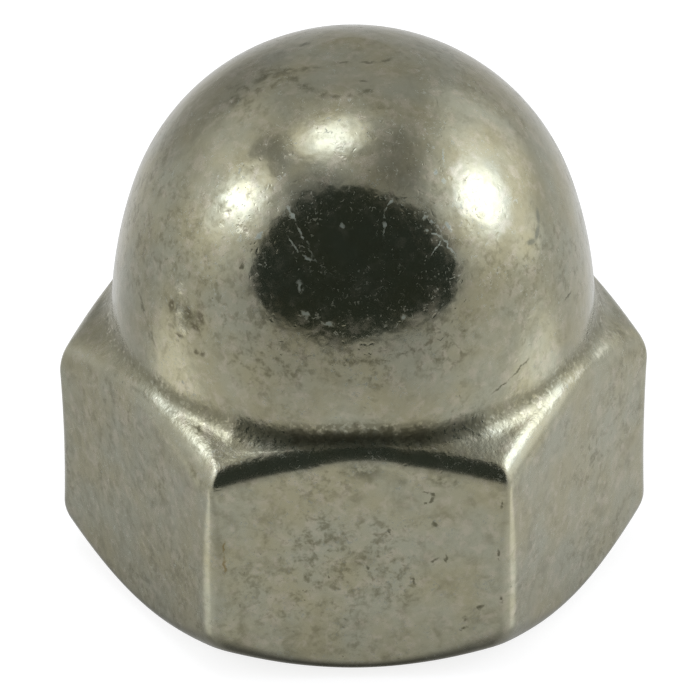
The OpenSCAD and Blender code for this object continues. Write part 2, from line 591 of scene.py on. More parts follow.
@dataclass
class CapNut:
    """The whole nut: one closed skin, turned from a section, pressed to a hexagon and threaded inside."""

    section: Section
    hexagon: Hexagon
    thread: Thread
    dents: Dents
    name: str = "cap_nut_body"
    # Columns round the axis, and how their steps widen away from each corner
    columns: int = 384
    corner_step: float = math.radians(0.22)
    widest_step: float = math.radians(1.05)
    step_growth: float = 1.22
    # How far the bright wear reaches from an edge, and how strong it is along the upright corners: wear, and a
    # painted highlight along the rounded edges
    edge_reach: float = 0.22
    corner_wear_and_highlight: float = 0.4
    # From the middle of the front flat, where the wear of the upper edges begins and over what angle
    front_reach: float = math.radians(29)
    front_fade: float = math.radians(6)
    # Where the fillet's grime and painted shade ends beside the front flat, how much stays beyond, and how
    # wide it lies
    grime_and_shade_reach: float = math.radians(21)
    grime_and_shade_fade: float = math.radians(6)
    side_grime_and_shade: float = 0.25
    grime_and_shade_above: float = 0.5
    grime_and_shade_below: float = 0.4
    shoulder_fade: float = 0.25
    smooth_angle: float = math.radians(35)
    # How near two vertices are welded, and how near the trim counts one as on its plane, in millimetres
    weld_gap: float = 0.001
    trim_weld_gap: float = 0.01
    trim_gap: float = 0.0001

    def build(self) -> bpy.types.Object:
        """Builds the nut's mesh.

        Returns:
            The finished object, at the origin, in metres.
        """
        skin = self.turn_skin()
        self.press_hexagon(skin)
        bore = self.cut_thread()
        body = self.join_at_seat(skin, bore)
        self.dent(body)
        return body

    def draw_section(self, name: str, points: list[tuple]) -> bpy.types.Object:
        """Draws a half section as a line of edges, by extruding a vertex from point to point.

        Args:
            name: Name of the new object.
            points: The section's points, as (distance, height) in millimetres.

        Returns:
            The line, in the XZ plane.
        """
        select_only()
        bpy.ops.mesh.primitive_circle_add(vertices=3, radius=MM, location=(0, 0, 0))
        line = bpy.context.object
        line.name = line.data.name = name
        places = [Vector((float(r), 0, float(z))) * MM for r, z in points]
        edit_all()
        bpy.ops.mesh.merge(type="CENTER")
        bpy.ops.transform.translate(value=places[0])
        for here, there in zip(places, places[1:]):
            bpy.ops.mesh.extrude_vertices_move(TRANSFORM_OT_translate={"value": there - here})
        bpy.ops.object.mode_set(mode="OBJECT")
        nearest = [min(range(len(places)), key=lambda i: (places[i] - vertex.co).length)
                   for vertex in line.data.vertices]
        add_marks(line.data, "station", "INT", nearest)
        return line

    def turn_skin(self) -> bpy.types.Object:
        """Turns the outside section into a round blank as wide as the hexagon's corners."""
        corner = float(self.hexagon.reach(0.0, self.hexagon.head_radius))
        points, _ = self.section.points(corner, corner)
        skin = self.draw_section(self.name, points)
        edit_all()
        bpy.ops.mesh.spin(steps=self.columns, angle=2 * math.pi, center=(0, 0, 0), axis=(0, 0, 1))
        weld_all(self.weld_gap)
        bpy.ops.object.mode_set(mode="OBJECT")
        return skin

    def corner_offsets(self) -> np.ndarray:
        """Gives each column's angle from the corner at its start, close together near a corner."""
        half = self.columns // 12
        steps = np.minimum(self.corner_step * self.step_growth ** np.arange(half), self.widest_step)
        offsets = np.concatenate([[0], np.cumsum(steps)])
        return offsets / offsets[-1] * math.pi / 6

    def press_hexagon(self, skin: bpy.types.Object) -> None:
        """Presses the round blank to six flats, with every edge rounded, and marks what each vertex is.

        Args:
            skin: The turned blank.
        """
        mesh = skin.data
        place = read_places(mesh)
        station = np.empty(len(place), dtype=np.int32)
        mesh.attributes["station"].data.foreach_get("value", station)
        column = np.round(np.arctan2(place[:, 1], place[:, 0]) / (2 * math.pi) * self.columns).astype(int)
        column %= self.columns

        sector, step = np.divmod(np.arange(self.columns), self.columns // 6)
        offsets = self.corner_offsets()
        half = self.columns // 12
        from_corner = offsets[np.minimum(step, 2 * half - step)]
        turn = sector * math.pi / 3 + np.where(step <= half, from_corner, math.pi / 3 - from_corner)
        corner = (sector + (step > half)) % 6
        wear = np.array(self.hexagon.wear)[corner]
        foot = self.hexagon.reach(from_corner, self.hexagon.corner_radius(0, wear))
        head = self.hexagon.reach(from_corner, self.hexagon.corner_radius(1, wear))
        from_front = np.abs((turn + math.pi / 2 + math.pi) % (2 * math.pi) - math.pi)
        aside = np.clip((from_front - self.front_reach) / self.front_fade, 0, 1)
        aside = aside * aside * (3 - 2 * aside)
        foot_worn = np.array(self.hexagon.foot_wear)[corner]
        head_worn = np.array(self.hexagon.head_wear)[corner] * aside
        points, zones = self.section.points(foot, head, foot_worn, head_worn)
        radius, height = (np.array([np.broadcast_to(p[i], foot.shape) for p in points]) for i in (0, 1))

        low, high = zones.index(Zone.FLAT) - 1, zones.index(Zone.UPPER_EDGE)
        for row in range(low + 1, high):
            corner_radius = self.hexagon.corner_radius((row - low) / (high - low), wear)
            radius[row] = self.hexagon.reach(from_corner, corner_radius)
        self.mark_skin(mesh, station, column, radius, height, zones, from_corner, from_front)

        mesh.attributes.remove(mesh.attributes["station"])
        write_places(mesh, radius[station, column], turn[column], height[station, column])

    def mark_skin(self, mesh: bpy.types.Mesh, station: np.ndarray, column: np.ndarray, radius: np.ndarray,
                  height: np.ndarray, zones: list[Zone], from_corner: np.ndarray,
                  from_front: np.ndarray) -> None:
        """Writes what the finish needs to know of each vertex: its zone, wear and painted highlight, grime and
        painted shade, hexagon and shoulder.

        Args:
            mesh: The skin's mesh.
            station: Each vertex's row in the section.
            column: Each vertex's column round the axis.
            radius: Distance from the axis, by row and column.
            height: Height, by row and column.
            zones: Each row's zone.
            from_corner: Each column's angle from the nearest corner, in radians.
            from_front: Each column's angle from the middle of the front flat, in radians.
        """
        steps = np.hypot(np.diff(radius, axis=0), np.diff(height, axis=0))
        run = np.concatenate([np.zeros((1, self.columns)), np.cumsum(steps, axis=0)])
        middle = {zone: run[[i for i, z in enumerate(zones) if z == zone]].mean(axis=0)
                  for zone in (Zone.LOWER_EDGE, Zone.UPPER_EDGE, Zone.FILLET)}
        # Wear and painted highlight: a lighter band along the upper and lower edges and the upright corners
        upper = np.abs(run - middle[Zone.UPPER_EDGE]) / self.edge_reach
        lower = np.abs(run - middle[Zone.LOWER_EDGE]) / self.edge_reach
        corner = np.broadcast_to(from_corner * self.section.flat_r / self.edge_reach, run.shape)
        row_zone = np.array([int(zone) for zone in zones])
        on_wall = ((row_zone >= Zone.LOWER_EDGE) & (row_zone <= Zone.UPPER_EDGE))[:, None]
        worn = np.maximum(np.exp(-np.minimum(upper, lower) ** 2),
                          np.where(on_wall, self.corner_wear_and_highlight * np.exp(-corner ** 2), 0))
        # Grime and painted shade: a darker band round the fillet, full beside the front flat and weaker to the
        # sides
        above = run - middle[Zone.FILLET]
        grime_and_shade = np.clip(1 - np.abs(above) / np.where(above > 0, self.grime_and_shade_above, self.grime_and_shade_below), 0, 1)
        grime_and_shade = grime_and_shade * np.clip((self.grime_and_shade_reach - from_front) / self.grime_and_shade_fade, self.side_grime_and_shade, 1)
        last_fillet = len(zones) - 1 - zones[::-1].index(Zone.FILLET)
        shoulder = (np.clip((run - middle[Zone.UPPER_EDGE]) / self.shoulder_fade, 0, 1)
                    * np.clip((run[last_fillet] - run) / self.shoulder_fade + 1, 0, 1))
        hexagon = np.broadcast_to((row_zone <= Zone.TOP_CHAMFER)[:, None], run.shape).astype(float)
        add_marks(mesh, "zone", "INT", row_zone[station])
        levels = {"edge_wear_and_highlight": worn, "grime_and_shade": grime_and_shade, "hexagon": hexagon, "shoulder": shoulder}
        for name, level in levels.items():
            add_marks(mesh, name, "FLOAT", level[station, column])

    def cut_thread(self) -> bpy.types.Object:
        """Sweeps one pitch of the thread up the bore, trims it and closes it with the drill point."""
        thread = self.thread
        bore = self.draw_section("bore", thread.pitch_profile())
        bore.data.attributes.remove(bore.data.attributes["station"])
        select_only(bore)
        turns = math.ceil(thread.depth / thread.pitch) + 2
        screw = bore.modifiers.new("helix", "SCREW")
        screw.axis = "Z"
        screw.screw_offset = thread.pitch * MM
        screw.iterations = turns
        screw.steps = screw.render_steps = thread.steps
        screw.use_smooth_shade = True
        bpy.ops.object.modifier_apply(modifier=screw.name)
        bpy.ops.object.mode_set(mode="EDIT")
        weld_all(self.weld_gap)
        bpy.ops.mesh.select_all(action="SELECT")
        bpy.ops.transform.translate(value=(0, 0, -thread.pitch * MM))
        for height, upward in ((0, False), (thread.depth, True)):
            bpy.ops.mesh.select_all(action="SELECT")
            bpy.ops.mesh.bisect(plane_co=(0, 0, height * MM), plane_no=(0, 0, 1), use_fill=False,
                                clear_inner=not upward, clear_outer=upward, threshold=self.trim_gap * MM)
        weld_all(self.trim_weld_gap)
        bpy.ops.object.mode_set(mode="OBJECT")
        self.level_rim(bore, 0)
        self.level_rim(bore, thread.depth)

        x, y, rise = read_places(bore.data).T
        reach = np.clip(np.hypot(x, y), thread.minor_r, thread.major_r)
        write_places(bore.data, thread.cut(reach, rise), np.arctan2(y, x), rise)
        self.drill_point(bore)
        return bore

    def level_rim(self, bore: bpy.types.Object, height: float) -> None:
        """Selects one open rim of the bore and lays it level.

        Args:
            bore: The bore, open at both ends.
            height: Height of the rim, in millimetres.
        """
        bpy.ops.object.mode_set(mode="EDIT")
        bpy.ops.mesh.select_mode(type="EDGE")
        bpy.ops.mesh.select_all(action="DESELECT")
        bpy.ops.mesh.select_non_manifold(extend=False)
        bpy.ops.object.mode_set(mode="OBJECT")
        mesh = bore.data
        near = [abs(vertex.co.z / MM - height) < self.thread.pitch for vertex in mesh.vertices]
        for edge in mesh.edges:
            edge.select = edge.select and all(near[v] for v in edge.vertices)
        for vertex in mesh.vertices:
            vertex.select = vertex.select and near[vertex.index]
            if vertex.select:
                vertex.co.z = height * MM

    def drill_point(self, bore: bpy.types.Object) -> None:
        """Extrudes the bore's top rim inwards to the drill point and closes its tip.

        Args:
            bore: The trimmed thread.
        """
        thread = self.thread
        self.level_rim(bore, thread.depth)
        bpy.ops.object.mode_set(mode="EDIT")
        reach = thread.minor_r
        for target in (*(thread.minor_r * share for share in thread.point_steps), thread.tip_r):
            rise = thread.point_rise * (reach - target) / (thread.minor_r - thread.tip_r)
            bpy.ops.mesh.extrude_edges_move(TRANSFORM_OT_translate={"value": (0, 0, rise * MM)})
            bpy.ops.transform.resize(value=(target / reach, target / reach, 1), center_override=(0, 0, 0))
            reach = target
        bpy.ops.mesh.edge_face_add()
        bpy.ops.object.mode_set(mode="OBJECT")

    def join_at_seat(self, skin: bpy.types.Object, bore: bpy.types.Object) -> bpy.types.Object:
        """Joins skin and bore by the flat seat between their lowest rims, and points every face outwards.

        Args:
            skin: The pressed outside.
            bore: The threaded inside.

        Returns:
            The closed nut.
        """
        add_marks(bore.data, "zone", "INT", [int(Zone.BORE)] * len(bore.data.vertices))
        select_only(bore, skin)
        bpy.ops.object.join()
        bpy.ops.object.mode_set(mode="EDIT")
        bpy.ops.mesh.select_all(action="DESELECT")
        bpy.ops.mesh.select_mode(type="EDGE")
        bpy.ops.mesh.select_non_manifold(extend=False)
        bpy.ops.mesh.bridge_edge_loops()
        bpy.ops.mesh.select_all(action="SELECT")
        bpy.ops.mesh.normals_make_consistent(inside=False)
        bpy.ops.object.mode_set(mode="OBJECT")
        bpy.ops.object.shade_smooth_by_angle(angle=self.smooth_angle)
        return skin

    def dent(self, body: bpy.types.Object) -> None:
        """Pushes the skin in along its normals by the unevenness, but not the seat or the bore.

        Args:
            body: The closed nut.
        """
        mesh = body.data
        zone = mesh.attributes["zone"].data
        normals = [vertex.normal.copy() for vertex in mesh.vertices]
        for vertex, normal in zip(mesh.vertices, normals):
            if Zone.SEAT < zone[vertex.index].value < Zone.BORE:
                vertex.co -= normal * self.dents.depth(vertex.co / MM) * MM
        mesh.update()


# ---------------------------------------------------------------- its finish


@dataclass(frozen=True)
class Film:
    """What covers or replaces the bright skin in some places: its colour, roughness and greatest cover."""

    colour: str
    roughness: float
    cover: float = 1.0


@dataclass(frozen=True)
class Pattern:
    """Irregular patches that come up where a noise rises between two levels; sizes in millimetres."""

    size: float
    low: float
    high: float
    detail: float = 2.0
    distortion: float = 0.0
    seed: float = 0.0
    graininess: float = 0.5

    def mask(self, add: Adder, place: Source) -> Source:
        """Makes the patches' mask.

        Args:
            add: Adds a node to the material.
            place: The position to read.

        Returns:
            The mask, 0 between the patches and 1 in them.
        """
        cloud = add("TexNoise", {
            "Vector": place, "W": self.seed, "Scale": per_mm(self.size),
            "Detail": self.detail, "Roughness": self.graininess, "Distortion": self.distortion,
        }, noise_dimensions="4D")
        return add("MapRange", {0: cloud, 1: self.low, 2: self.high}, interpolation_type="SMOOTHSTEP")


@dataclass(frozen=True)
class Mark:
    """A scratch, smudge or stain: a slim ellipsoid round each stretch between places on the skin.

    A place is an azimuth and a height, or, on the nose, an azimuth and a distance from the axis. Each
    ellipsoid reaches past its stretch by the overlap and into the steel by the depth.
    """

    places: tuple[tuple[float, float], ...]
    half_width: float
    overlap: float = 0.12
    depth: float = 0.6
    on_nose: bool = False

    def ellipsoids(self, section: Section) -> list[tuple[Vector, Vector, Vector]]:
        """Works out the ellipsoids.

        Args:
            section: The nut's section, which says where the skin is.

        Returns:
            Each one's centre, turn and half sizes, in metres and radians.
        """
        found = []
        spots = [section.place(*place, self.on_nose) for place in self.places]
        for start, end in zip(spots, spots[1:]):
            middle, along = (start + end) / 2, end - start
            outward = Vector((middle.x, middle.y, max(middle.z - section.flat_height, 0)))
            across = outward.cross(along).normalized()
            frame_axes = (along.normalized(), across, along.cross(across).normalized())
            turn = Matrix(frame_axes).transposed().to_euler()
            sizes = Vector((along.length / 2 + self.overlap, self.half_width, self.depth))
            found.append((middle * MM, Vector(turn), sizes * MM))
        return found


def dots(places: tuple[tuple[float, float], ...], half_width: float) -> tuple[Mark, ...]:
    """Makes a round mark at each place."""
    return tuple(Mark(((azimuth - 0.2, height), (azimuth + 0.2, height)), half_width, overlap=half_width)
                 for azimuth, height in places)


# Scratches and flecks that catch the light, most of them in the dark reflection on the dome
LIGHT_SCRATCHES = (
    Mark(((-23.9, 15.32), (-19.1, 14.9), (-14.5, 14.43), (-11.7, 13.97)), 0.055),
    Mark(((-21.0, 14.59), (-16.4, 14.17), (-11.7, 14.03)), 0.05),
    Mark(((13.0, 15.57), (9.2, 15.27), (7.8, 14.63)), 0.05),
    Mark(((21.9, 14.62), (25.8, 14.43), (28.2, 13.83)), 0.05),
    Mark(((25.8, 14.43), (20.9, 14.0)), 0.04),
    Mark(((39.5, 16.23), (35.6, 15.97)), 0.06),
    Mark(((31.6, 15.95), (31.2, 15.83)), 0.1, 0.06),
    Mark(((33.1, 15.7), (32.9, 15.62)), 0.09, 0.06),
    Mark(((-15.8, 13.5), (-15.4, 13.15)), 0.12, 0.12),
    Mark(((28.2, 14.75), (29.2, 14.5)), 0.08, 0.06),
    Mark(((-31.0, 14.3), (-28.6, 14.62)), 0.08, 0.08),
    Mark(((-8.8, 12.32), (-6.6, 12.3)), 0.11),
    Mark(((-14.0, 12.6), (-13.0, 12.5)), 0.12),
    *dots(((22.0, 15.0), (24.2, 14.85), (19.0, 14.8), (21.5, 14.66), (-4.8, 14.98), (11.5, 12.45)), 0.1),
)
# Dark scratches on the dome, and dark nicks and smudges on the front flat
DARK_MARKS = (
    Mark(((45.4, 9.94), (38.6, 9.58), (33.1, 9.3)), 0.06),
    Mark(((66.1, 10.9), (61.8, 10.85)), 0.06),
    Mark(((-33.2, 13.52), (-32.4, 13.5)), 0.09, 0.05),
    Mark(((-38.7, 8.14), (-37.9, 8.2)), 0.1, 0.06),
    Mark(((13.4, 6.86), (15.0, 6.86), (15.9, 6.67), (14.8, 6.42), (13.8, 6.46)), 0.07, 0.04),
    Mark(((15.8, 5.76), (16.3, 5.58)), 0.11, 0.06),
    Mark(((15.0, 4.19), (16.7, 4.47)), 0.1, 0.06),
    Mark(((18.3, 4.5), (18.5, 4.32)), 0.08, 0.06),
    Mark(((11.0, 3.79), (11.9, 3.46)), 0.08, 0.06),
    Mark(((23.5, 2.47), (25.9, 2.68)), 0.11, 0.06),
    Mark(((28.65, 3.0), (28.7, 2.7)), 0.09, 0.05),
    Mark(((22.0, 2.28), (22.2, 2.06)), 0.08, 0.05),
    Mark(((20.6, 1.77), (22.6, 1.84)), 0.07, 0.05),
    Mark(((28.1, 4.73), (28.0, 4.29)), 0.06, 0.05),
    Mark(((28.8, 6.48), (28.8, 6.2)), 0.07, 0.05),
    Mark(((1.2, 4.23), (1.7, 4.0)), 0.07, 0.05),
    Mark(((6.1, 5.57), (6.7, 5.31)), 0.07, 0.05),
)
# Stains high on the front flat, round the nose and low on the dome's left
STAIN_MARKS = (
    Mark(((-3.5, 7.7), (4.5, 7.6)), 0.55, 0.45),
    Mark(((14.0, 7.35), (22.0, 7.1)), 0.3, 0.25),
    Mark(((-59.6, 10.25), (-58.7, 9.98)), 0.16, 0.08),
    Mark(((-67.0, 11.09), (-61.1, 10.45), (-55.7, 9.77)), 0.12),
    Mark(((-71.6, 8.0), (-65.6, 8.1), (-58.0, 8.2), (-55.8, 8.19), (-50.3, 8.09)), 0.11),
    Mark(((-86.1, 3.67), (-84.4, 3.16), (-87.5, 2.46), (-87.9, 2.22), (-75.8, 1.76), (-73.0, 0.94)), 0.24,
         on_nose=True),
    Mark(((-83.1, 1.93), (-60.2, 1.98), (-37.3, 1.94), (-24.6, 1.96)), 0.24, on_nose=True),
    Mark(((-24.6, 1.96), (-10.0, 1.91), (9.3, 1.76), (21.6, 1.62)), 0.15, on_nose=True),
    Mark(((-85.3, 0.59), (77.0, 0.1), (87.6, 0.85), (98.5, 1.27)), 0.11, on_nose=True),
    Mark(((10.4, 1.15), (20.2, 1.22)), 0.12, on_nose=True),
    Mark(((-84.5, 3.99), (-71.6, 3.33)), 0.4, on_nose=True),
    Mark(((-53.5, 11.6), (-41.5, 11.35)), 0.5, 0.3, depth=0.5),
    Mark(((-125.3, 2.04), (-137.5, 1.87)), 0.18, on_nose=True),
)
# Burnt-on spots between the bumps low on the dome's left, and a painted shadow under the bump at (-47.2,
# 11.03)
SPOT_AND_SHADOW_MARKS = (
    Mark(((-53.0, 11.7), (-51.9, 11.3)), 0.22, 0.12),
    Mark(((-47.6, 11.8), (-45.4, 11.4)), 0.2, 0.1),
    Mark(((-44.0, 11.7), (-40.7, 11.5)), 0.22, 0.1),
    Mark(((-45.5, 11.3), (-41.5, 11.2)), 0.17, 0.1),
    # Painted shadow under a bump
    Mark(((-50.0, 10.75), (-46.5, 10.7)), 0.1, 0.1),
    Mark(((-43.4, 10.45), (-41.2, 10.5), (-39.5, 10.48)), 0.13, 0.06),
)
# Where handling has stained the skin most: broad places that the mottles fill
STAINED_PLACES = (
    Mark(((-12.0, 6.4), (-4.0, 2.4)), 2.2, 1.4, depth=1.4),
    Mark(((2.0, 6.2), (9.0, 2.4)), 1.6, 1.0, depth=1.4),
    Mark(((-34.0, 10.4), (-10.0, 11.0), (12.0, 11.1), (30.0, 11.6)), 1.5, 0.8, depth=1.4),
    Mark(((-86.0, 4.0), (-80.0, 2.0)), 1.3, 0.8, depth=1.4, on_nose=True),
    Mark(((-52.0, 11.4), (-42.0, 11.4)), 0.9, 0.6, depth=1.2),
    Mark(((60.0, 5.6), (68.0, 4.4)), 1.4, 0.8, depth=1.2),
)
# Painted shade of a shallow fold high on the dome's right: a darker line in the colour only, as the relief has
# no fold
FOLD_SHADE_MARKS = (
    Mark(((62.4, 13.9), (60.0, 13.5), (56.0, 13.2), (52.6, 13.3)), 0.13, depth=0.4),
)
# A painted highlight: a light line along the right flat's upper edge, where the right lamp's streak runs on
HIGHLIGHT_LINE_MARKS = (
    Mark(((54.3, 8.33), (68.1, 8.26), (79.8, 8.05)), 0.12),
)
# A streak of rust beside the front flat's left corner
RUST_MARKS = (
    Mark(((-27.75, 5.3), (-27.6, 4.6)), 0.05, 0.05),
    Mark(((-27.6, 4.75), (-27.8, 3.8)), 0.075, 0.05),
)
# Bumps low on the dome's left, raised in the relief and painted pale as wear and as a painted highlight, and
# dimples high on it
BUMPS = dots(((-49.3, 11.5), (-47.2, 11.03), (-50.9, 12.2)), 0.24)
DIMPLES = dots(((-47.0, 14.73), (-42.7, 14.7), (-43.3, 14.42), (-36.8, 14.48), (-34.6, 14.46)), 0.15)


@dataclass(frozen=True)
class TumbledSteel:
    """Austenitic stainless steel, cold-formed and tumbled.

    Forming leaves it mirror-bright but gently rippled, and tumbling adds shallow dents and a satin bloom.
    Handling and damp have left olive stains in clouds and grainy mottles, scratches, flecks, and grime in
    the fillet, which is also darkened by painted shade. The lighter wear on the edges and bumps also paints
    a highlight on them, and a painted highlight line, a painted shadow under a bump and the painted shade
    of a fold are drawn as marks. Every pattern has the size it has on such a nut, apart from the grain,
    which is drawn coarser than its real 0.02 mm so that it shows at all.
    """

    section: Section
    cool: str = "#9a9a88"
    warm: str = "#9b977e"
    dome_roughness: float = 0.12
    flat_roughness: float = 0.22
    shoulder_roughness: float = 0.22
    cloud: Film = Film("#706c56", 0.28, 0.45)
    mottle: Film = Film("#5f5b43", 0.34, 0.6)
    bloom: Film = Film("#b0a998", 0.26, 0.5)
    rub: Film = Film("#72715c", 0.28, 0.4)
    pit: Film = Film("#4c4a38", 0.4, 0.6)
    fleck: Film = Film("#a9aea5", 0.8, 0.4)
    # Dulling and painted shade over the fillet, and grime and painted shade in its darkest part
    dulling_and_shade: Film = Film("#77745f", 0.42, 0.7)
    dulled_and_shaded_at: float = 0.2
    grime_and_shade: Film = Film("#494736", 0.45, 0.75)
    # Lighter wear on the edges and the bumps, which also paints a highlight on them
    worn: Film = Film("#b3b29f", 0.2, 0.4)
    # Colour of the painted highlight line along the right flat's upper edge
    highlight_line: Film = Film("#c9c8b6", 0.2, 0.6)
    scratch: Film = Film("#a3ada5", 0.75, 0.65)
    smudge: Film = Film("#4f4d3a", 0.35, 0.75)
    stain: Film = Film("#54523d", 0.35, 0.65)
    # Colour of the burnt-on spots and of the painted shadow under a bump
    spot: Film = Film("#4f4936", 0.4, 0.7)
    # Colour of the painted shade of the fold
    fold_shade: Film = Film("#64675c", 0.35, 0.65)
    rust: Film = Film("#7d6b3e", 0.4, 0.7)
    clouds: Pattern = Pattern(0.8, 0.48, 0.7, 6.0, 0.6, graininess=0.62)
    mottles: Pattern = Pattern(0.27, 0.46, 0.66, 4.0, 0.3, 5.0, 0.62)
    blooms: Pattern = Pattern(0.42, 0.48, 0.66, 4.0, 0.4, 3.0, 0.6)
    blotches: Pattern = Pattern(0.3, 0.36, 0.56, 3.0, 0.0, 31.0, 0.6)
    stained_parts: Pattern = Pattern(2.6, 0.42, 0.62, 2.0, 0.0, 7.0)
    pits: Pattern = Pattern(0.17, 0.7, 0.77, 1.5, 1.2, 11.0)
    flecks: Pattern = Pattern(0.12, 0.58, 0.7, 2.0, 1.0, 17.0)
    flecked_parts: Pattern = Pattern(1.0, 0.38, 0.58, 2.0, 0.0, 19.0)
    dents: Pattern = Pattern(0.26, 0.62, 0.76, 1.0, 0.6, 23.0)
    gaps: Pattern = Pattern(0.14, 0.32, 0.5, 1.0, 0.0, 29.0)
    # Size of the patches of the cool and the warm steel, and the noise's levels at which each is pure
    patch_size: float = 1.9
    patch_levels: tuple[float, float] = (0.38, 0.62)
    # How far the marks' outlines wander, and over what length
    wobble_reach: float = 0.26
    wobble_size: float = 0.2
    # How much of the clouds the dome has, and of the mottles the skin has outside the stained parts and more
    # of them inside
    dome_clouds: float = 0.6
    plain_mottles: float = 0.2
    more_mottles: float = 0.6
    # The rub marks: which way they run, their length and widths, the noise's levels at which they come up,
    # and where they fade in along X and Z
    rub_way: tuple[float, float, float] = (0, -0.65, -0.72)
    rub_sizes: tuple[float, float, float] = (3.0, 0.3, 0.3)
    rub_levels: tuple[float, float] = (0.5, 0.72)
    rub_sides: tuple[float, float] = (-4.5, -6.5)
    rub_heights: tuple[float, float] = (7.0, 4.5)
    # The ragged rim of the grime and painted shade: its size, how far the noise moves it, and the levels at
    # which it comes up
    ragged_size: float = 0.3
    raggedness: float = 2.4
    dirt_and_shade_levels: tuple[float, float] = (0.3, 0.9)
    # Relief: the size and height of the ripple, the grain and the forged texture of the shoulder
    ripple: tuple[float, float] = (0.55, 0.012)
    grain: tuple[float, float] = (0.1, 0.0008)
    forging: tuple[float, float] = (0.16, 0.012)
    # Relief: the heights of single details
    dent_rise: float = -0.002
    pit_rise: float = -0.002
    bump_rise: float = 0.02
    dimple_rise: float = -0.005

    def cover(self, add: Adder, place: Source, marks: tuple[Mark, ...], sharpness: float) -> Source:
        """Joins marks to one mask.

        Args:
            add: Adds a node to the material.
            place: The position to read.
            marks: The marks.
            sharpness: Share of each mark's half width that is fully covered.

        Returns:
            The mask, from 0 outside to 1 in the marks.
        """
        deepest = None
        for mark in marks:
            for centre, turn, sizes in mark.ellipsoids(self.section):
                local = add("Mapping", {"Vector": place, "Location": centre, "Rotation": turn,
                                        "Scale": sizes}, vector_type="TEXTURE")
                here = add("TexGradient", {"Vector": local}, gradient_type="SPHERICAL").outputs["Fac"]
                if deepest is None:
                    deepest = here
                else:
                    deepest = add("Math", {0: deepest, 1: here}, operation="MAXIMUM")
        return add("MapRange", {0: deepest, 1: 0.0, 2: 1 - sharpness}, interpolation_type="SMOOTHSTEP")

    def rubs(self, add: Adder, place: Source) -> Source:
        """Makes the mask of the slanting rub marks, low on the flats that face left.

        Args:
            add: Adds a node to the material.
            place: The position to read.

        Returns:
            The mask.
        """
        turn = Vector(self.rub_way).to_track_quat("X", "Z").to_euler()
        along = add("Mapping", {"Vector": place, "Rotation": Vector(turn),
                                "Scale": Vector(self.rub_sizes) * MM}, vector_type="TEXTURE")
        rub = add("TexNoise", {"Vector": along, "Scale": 1.0, "Detail": 2.0})
        rub = add("MapRange", {0: rub, 1: self.rub_levels[0], 2: self.rub_levels[1]},
                  interpolation_type="SMOOTHSTEP")
        parts = add("SeparateXYZ", {0: place})
        left, low = (
            add("MapRange", {0: parts.outputs[axis], 1: start * MM, 2: end * MM, 3: 0.0, 4: 1.0})
            for axis, (start, end) in (("X", self.rub_sides), ("Z", self.rub_heights)))
        side = add("Math", {0: left, 1: low}, operation="MULTIPLY")
        return add("Math", {0: rub, 1: side}, operation="MULTIPLY")

    def dirt_and_shade(self, add: Adder, place: Source, grime_and_shade: Source) -> Source:
        """Makes the mask of the grime and painted shade in the fillet: ragged, and densest where the skin is
        marked for it.

        Args:
            add: Adds a node to the material.
            place: The position to read.
            grime_and_shade: How strongly the skin is marked for grime and painted shade, 0 to 1.

        Returns:
            The mask.
        """
        ragged = add("TexNoise", {
            "Vector": place, "Scale": per_mm(self.ragged_size), "Detail": 5.0, "Roughness": 0.6})
        ragged = add("Math", {0: ragged, 1: self.raggedness, 2: -self.raggedness / 2},
                     operation="MULTIPLY_ADD")
        ragged = add("Math", {0: grime_and_shade, 1: ragged}, operation="ADD")
        ragged = add("MapRange", {0: ragged, 1: self.dirt_and_shade_levels[0], 2: self.dirt_and_shade_levels[1]},
                     interpolation_type="SMOOTHSTEP")
        inside = add("Math", {0: grime_and_shade, 1: 0.0}, operation="GREATER_THAN")
        return add("Math", {0: ragged, 1: inside}, operation="MULTIPLY")

    def relief(self, add: Adder, place: Source, details: tuple[tuple[Source, float], ...]) -> Source:
        """Adds up the fine relief: the ripple and grain that are everywhere, and the given details.

        Args:
            add: Adds a node to the material.
            place: The position to read.
            details: Each further detail's mask and its height, in millimetres.

        Returns:
            The height, in millimetres.
        """
        ripple = add("TexNoise", {"Vector": place, "Scale": per_mm(self.ripple[0]), "Detail": 1.5})
        grain = add("TexNoise", {"Vector": place, "Scale": per_mm(self.grain[0]), "Detail": 2.0})
        height = add("Math", {0: ripple, 1: self.ripple[1]}, operation="MULTIPLY")
        for level, rise in ((grain, self.grain[1]), *details):
            height = add("Math", {0: level, 1: rise, 2: height}, operation="MULTIPLY_ADD")
        return height

    def build(self) -> bpy.types.Material:
        """Builds the material.

        Returns:
            The material, read from Object coordinates and the skin's marks.
        """
        material = bpy.data.materials.new("tumbled_stainless_steel")
        add = blank_tree(material)
        place = add("TexCoord").outputs["Object"]
        # The edge attribute carries wear and painted highlight, the grime attribute grime and painted shade
        wear, grime_and_shade, hexagon, shoulder = (
            add("Attribute", attribute_name=name).outputs["Fac"]
            for name in ("edge_wear_and_highlight", "grime_and_shade", "hexagon", "shoulder"))
        wobble = add("TexNoise", {"Vector": place, "Scale": per_mm(self.wobble_size), "Detail": 3.0})
        wobble = add("VectorMath", {0: wobble.outputs["Color"], 1: (0.5, 0.5, 0.5)}, operation="SUBTRACT")
        shift = add("VectorMath", {0: wobble, 1: (self.wobble_reach * MM,) * 3, 2: place},
                    operation="MULTIPLY_ADD")

        patch = add("TexNoise", {"Vector": place, "Scale": per_mm(self.patch_size), "Detail": 3.0})
        patch = add("MapRange", {0: patch, 1: self.patch_levels[0], 2: self.patch_levels[1]})
        colour = add("Mix", {0: patch, 6: srgb(self.cool), 7: srgb(self.warm)}, data_type="RGBA").outputs[2]
        rough = add("MapRange", {0: hexagon, 3: self.dome_roughness, 4: self.flat_roughness})
        rough = add("Mix", {0: shoulder, 2: rough, 3: self.shoulder_roughness})

